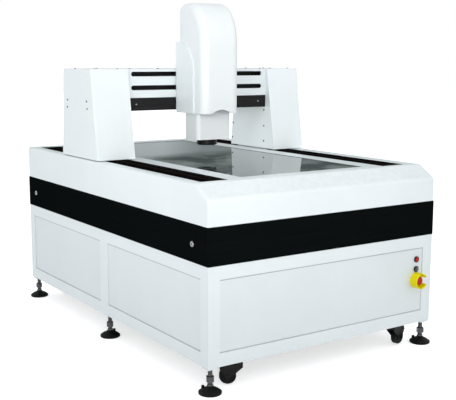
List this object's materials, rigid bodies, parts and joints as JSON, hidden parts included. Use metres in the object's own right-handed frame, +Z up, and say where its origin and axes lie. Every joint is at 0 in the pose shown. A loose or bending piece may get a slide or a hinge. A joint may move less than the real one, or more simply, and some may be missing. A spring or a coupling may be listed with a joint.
{
  "type": "vision measuring machine",
  "caption": "Floor-standing vision measuring machine: gantry and lens head over a glass stage on a white cabinet with a black band, levelling feet and casters.",
  "frame": {"origin": "on the floor, under the middle of the whole outline", "axes": "+X to the operator's right, +Y away from the operator, +Z up"},
  "size_m": [1.34, 1.9819, 1.671],
  "materials": {
    "frame_paint": "semi-gloss cool white powder coat, fine orange peel",
    "panel_paint": "semi-gloss cool white powder coat on flat sheet",
    "casing_paint": "smooth satin white paint on the upper casing",
    "cover_paint": "smooth satin white paint on the gantry covers",
    "head_shell": "moulded cover, smooth satin white",
    "band_black": "satin black paint",
    "strip_black": "matt black cover strip",
    "beam_black": "dark brushed plate",
    "glass": "polished grey-green plate glass",
    "light_panel": "diffuser sheet, switched off",
    "granite": "lapped black granite",
    "steel": "ground steel",
    "screw_steel": "zinc-plated screws",
    "magnet": "cover plate of the magnet track",
    "coil": "potted motor coil",
    "aluminium": "milled aluminium, clear anodised",
    "black_iron": "black painted casting",
    "stud_steel": "zinc-plated thread",
    "caster_black": "black pressed steel",
    "wheel_black": "dark nylon wheel",
    "bezel_black": "black switch body",
    "guard_yellow": "yellow plastic guard",
    "button_red": "red push button",
    "key_silver": "plated key barrel",
    "inlet_black": "black mains inlet",
    "box_grey": "light grey sheet-metal box",
    "lens_black": "black anodised lens barrel",
    "camera_red": "dark anodised camera body",
    "ring_black": "black ring light housing",
    "motor_black": "black motor"
  },
  "bodies": {
    "base": {"base_frame": "frame_paint", "side_panels": "panel_paint", "front_panel": "panel_paint", "rear_panel": "panel_paint", "side_bands": "band_black", "end_bands": "band_black", "band_screws": "screw_steel", "casing_front": "casing_paint", "casing_body": "casing_paint", "slot_strips": "strip_black", "stage_surround": "casing_paint", "stage_glass": "glass", "backlight": "light_panel", "granite_base": "granite", "y_rails": "steel", "y_magnet_tracks": "magnet", "foot_discs": "black_iron", "foot_studs": "stud_steel", "foot_nuts": "stud_steel", "caster_plates": "caster_black", "switch_bezels": "bezel_black", "estop_guard": "guard_yellow", "power_inlet": "inlet_black", "control_box": "box_grey"},
    "gantry": {"gantry_columns": "aluminium", "gantry_beam": "aluminium", "y_blocks": "steel", "y_motor_coils": "coil", "left_upright_cover": "cover_paint", "right_upright_cover": "cover_paint", "inner_covers": "cover_paint", "beam_cover": "cover_paint", "beam_band": "beam_black", "gantry_screws": "screw_steel", "x_rails": "steel", "x_magnet_track": "magnet"},
    "carriage": {"x_blocks": "steel", "x_motor_coil": "coil", "x_carriage": "aluminium", "head_frame": "cover_paint", "head_cover": "head_shell", "z_rails": "steel", "z_motor": "motor_black"},
    "z_screw": {"z_screw": "steel"},
    "lens_unit": {"z_slide": "aluminium", "lens_housing": "head_shell", "zoom_lens": "lens_black", "camera": "camera_red", "ring_light": "ring_black"},
    "power_button": {"power_button": "button_red"},
    "key_switch": {"key_switch": "key_silver"},
    "estop_button": {"estop_button": "button_red"},
    "caster_front_left": {"caster_fork_front_left": "caster_black"},
    "wheel_front_left": {"caster_wheel_front_left": "wheel_black"},
    "caster_front_right": {"caster_fork_front_right": "caster_black"},
    "wheel_front_right": {"caster_wheel_front_right": "wheel_black"},
    "caster_rear_left": {"caster_fork_rear_left": "caster_black"},
    "wheel_rear_left": {"caster_wheel_rear_left": "wheel_black"},
    "caster_rear_right": {"caster_fork_rear_right": "caster_black"},
    "wheel_rear_right": {"caster_wheel_rear_right": "wheel_black"}
  },
  "joints": [
    {"name": "gantry_travel", "type": "slide", "parent": "base", "child": "gantry", "axis": [0, 1, 0], "range_m": [-0.75, 0.4]},
    {"name": "carriage_travel", "type": "slide", "parent": "gantry", "child": "carriage", "axis": [1, 0, 0], "range_m": [-0.28, 0.34]},
    {"name": "lens_travel", "type": "slide", "parent": "carriage", "child": "lens_unit", "axis": [0, 0, 1], "range_m": [-0.045, 0.155]},
    {"name": "z_screw_turn", "type": "hinge", "parent": "carriage", "child": "z_screw", "pos_m": [-0.03, 0.087, 1.2], "axis": [0, 0, 1], "range_deg": [-5585, 1625]},
    {"name": "power_button_press", "type": "slide", "parent": "base", "child": "power_button", "axis": [0, 1, 0], "range_m": [0, 0.003], "stiffness_N_per_m": 500, "springref_m": -0.002},
    {"name": "key_turn", "type": "hinge", "parent": "base", "child": "key_switch", "pos_m": [0.55, -0.948, 0.387], "axis": [0, -1, 0], "range_deg": [0, 90]},
    {"name": "estop_press", "type": "slide", "parent": "base", "child": "estop_button", "axis": [0, 1, 0], "range_m": [0, 0.005], "stiffness_N_per_m": 1500, "springref_m": -0.002},
    {"name": "caster_swivel_front_left", "type": "hinge", "parent": "base", "child": "caster_front_left", "pos_m": [-0.474, -0.892, 0.1], "axis": [0, 0, 1], "continuous": true},
    {"name": "caster_roll_front_left", "type": "hinge", "parent": "caster_front_left", "child": "wheel_front_left", "pos_m": [-0.49887, -0.87522, 0.0425], "axis": [-0.5592, -0.829, 0], "continuous": true},
    {"name": "caster_swivel_front_right", "type": "hinge", "parent": "base", "child": "caster_front_right", "pos_m": [0.474, -0.892, 0.1], "axis": [0, 0, 1], "continuous": true},
    {"name": "caster_roll_front_right", "type": "hinge", "parent": "caster_front_right", "child": "wheel_front_right", "pos_m": [0.50284, -0.88373, 0.0425], "axis": [-0.2756, 0.9613, 0], "continuous": true},
    {"name": "caster_swivel_rear_left", "type": "hinge", "parent": "base", "child": "caster_rear_left", "pos_m": [-0.474, 0.909, 0.1], "axis": [0, 0, 1], "continuous": true},
    {"name": "caster_roll_rear_left", "type": "hinge", "parent": "caster_rear_left", "child": "wheel_rear_left", "pos_m": [-0.44581, 0.91926, 0.0425], "axis": [-0.342, 0.9397, 0], "continuous": true},
    {"name": "caster_swivel_rear_right", "type": "hinge", "parent": "base", "child": "caster_rear_right", "pos_m": [0.474, 0.909, 0.1], "axis": [0, 0, 1], "continuous": true},
    {"name": "caster_roll_rear_right", "type": "hinge", "parent": "caster_rear_right", "child": "wheel_rear_right", "pos_m": [0.44581, 0.91926, 0.0425], "axis": [-0.342, -0.9397, 0], "continuous": true}
  ],
  "couplings": [
    {"joint": "z_screw_turn", "follows": "lens_travel", "rad_per_m": -628.32}
  ]
}
